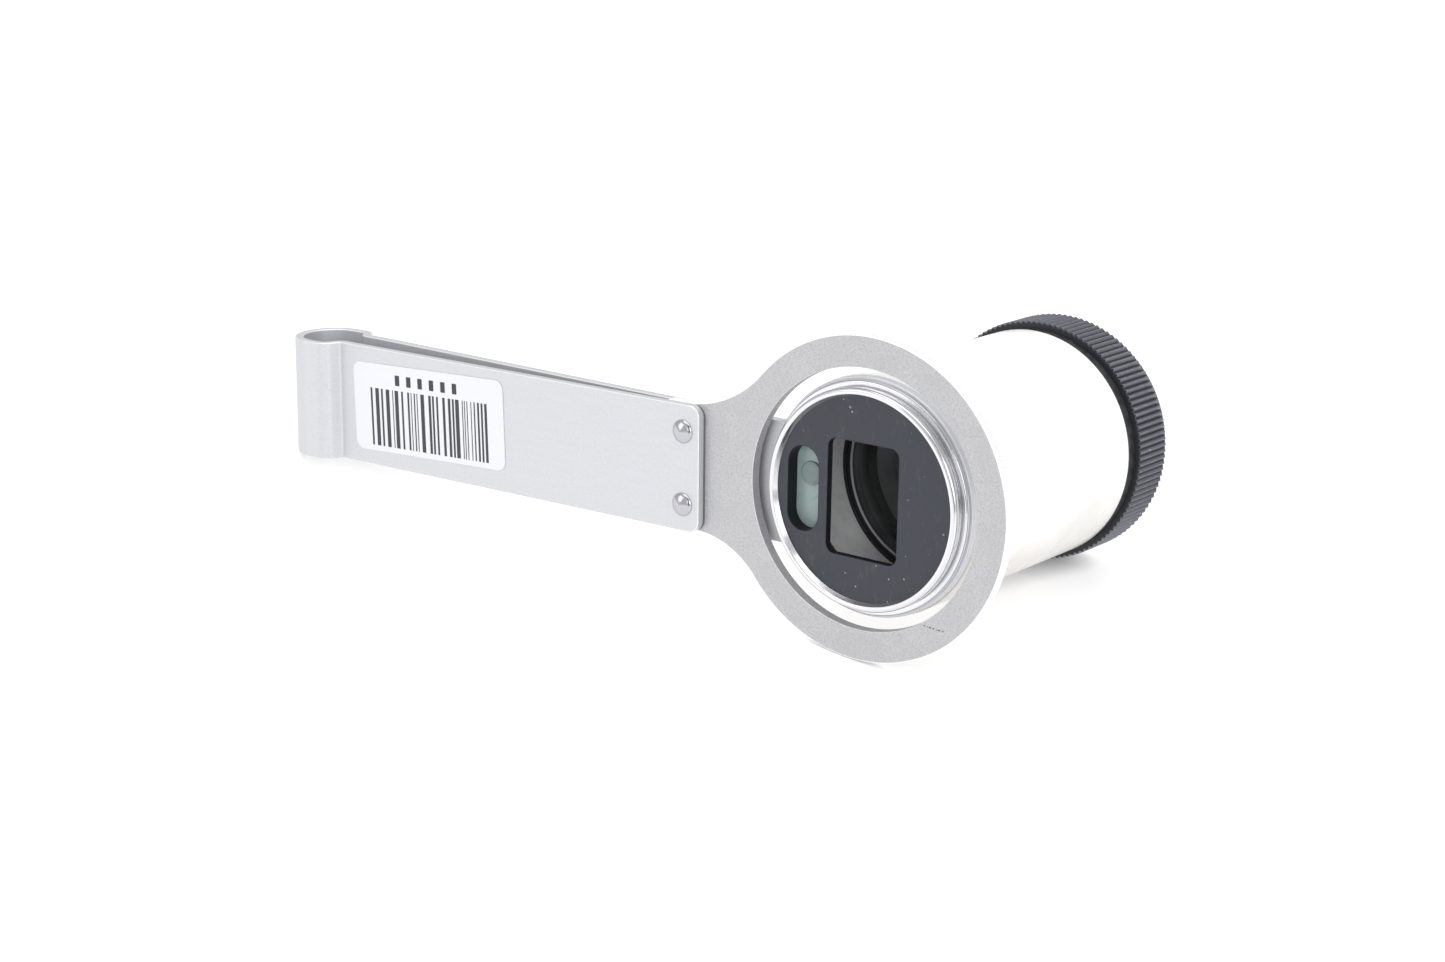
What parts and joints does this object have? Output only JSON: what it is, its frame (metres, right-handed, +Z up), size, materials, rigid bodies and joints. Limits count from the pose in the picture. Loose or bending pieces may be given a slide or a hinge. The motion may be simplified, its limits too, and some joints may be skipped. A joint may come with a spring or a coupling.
{
  "type": "film viewing loupe",
  "caption": "Viewing loupe for small-format film: focusing lens barrel with a gated front, on a folded spring strip handle whose front arm carries a ring plate.",
  "frame": {"origin": "centre of the loupe's footprint on the surface it lies on, at its lowest point", "axes": "+Z up from that surface, +X along the handle towards the barrel, -Y the side that the film gate looks to"},
  "size_m": [0.0878, 0.0422, 0.0308],
  "materials": {
    "satin_strip": "satin, fine brushed",
    "blasted_plate": "bead blasted, matte grainy",
    "rivet_metal": "bright, lightly polished",
    "label_paper": "semi-gloss coated paper with printed bars",
    "polished_collar": "polished",
    "black_anodised_disc": "black anodised, semi-matte",
    "green_pane": "tinted translucent, glossy",
    "white_barrel": "glossy warm white",
    "black_focus_ring": "black anodised, satin, knurled",
    "black_eyepiece": "black anodised, matte",
    "black_lens_tube": "black anodised, matte",
    "lens_glass": "polished, coated",
    "key_brass": "plain"
  },
  "bodies": {
    "loupe": {"rear_arm": "satin_strip", "gate_collar": "polished_collar", "gate_disc": "black_anodised_disc", "slot_insert": "green_pane", "barrel": "white_barrel", "guide_key": "key_brass"},
    "ring_arm": {"front_arm": "satin_strip", "ring_plate": "blasted_plate", "tang_rivets": "rivet_metal", "stock_label": "label_paper"},
    "lens_cell": {"lens_tube": "black_lens_tube", "lens_spacer": "black_lens_tube", "front_lens_ring": "black_lens_tube", "front_crown_lens": "lens_glass", "front_flint_lens": "lens_glass", "eye_flint_lens": "lens_glass", "eye_crown_lens": "lens_glass", "eye_lens_ring": "black_eyepiece"},
    "focusing_ring": {"focus_ring": "black_focus_ring", "eyepiece_cap": "black_eyepiece"}
  },
  "joints": [
    {"name": "spring_arm_flex", "type": "hinge", "parent": "loupe", "child": "ring_arm", "pos_m": [-0.0427, -0.01655, 0.00637], "axis": [0.1267, -0.098, -0.9871], "range_deg": [-0.3, 4], "stiffness_Nm_per_rad": 1},
    {"name": "lens_cell_slide", "type": "slide", "parent": "loupe", "child": "lens_cell", "axis": [0.0125, 0.9952, -0.0972], "range_m": [0, 0.0025]},
    {"name": "focus_turn", "type": "hinge", "parent": "lens_cell", "child": "focusing_ring", "pos_m": [0.02891, 0.01469, 0.01245], "axis": [0.0125, 0.9952, -0.0972], "range_deg": [0, 150.1]}
  ],
  "couplings": [
    {"joint": "focus_turn", "follows": "lens_cell_slide", "rad_per_m": 1047.2}
  ]
}
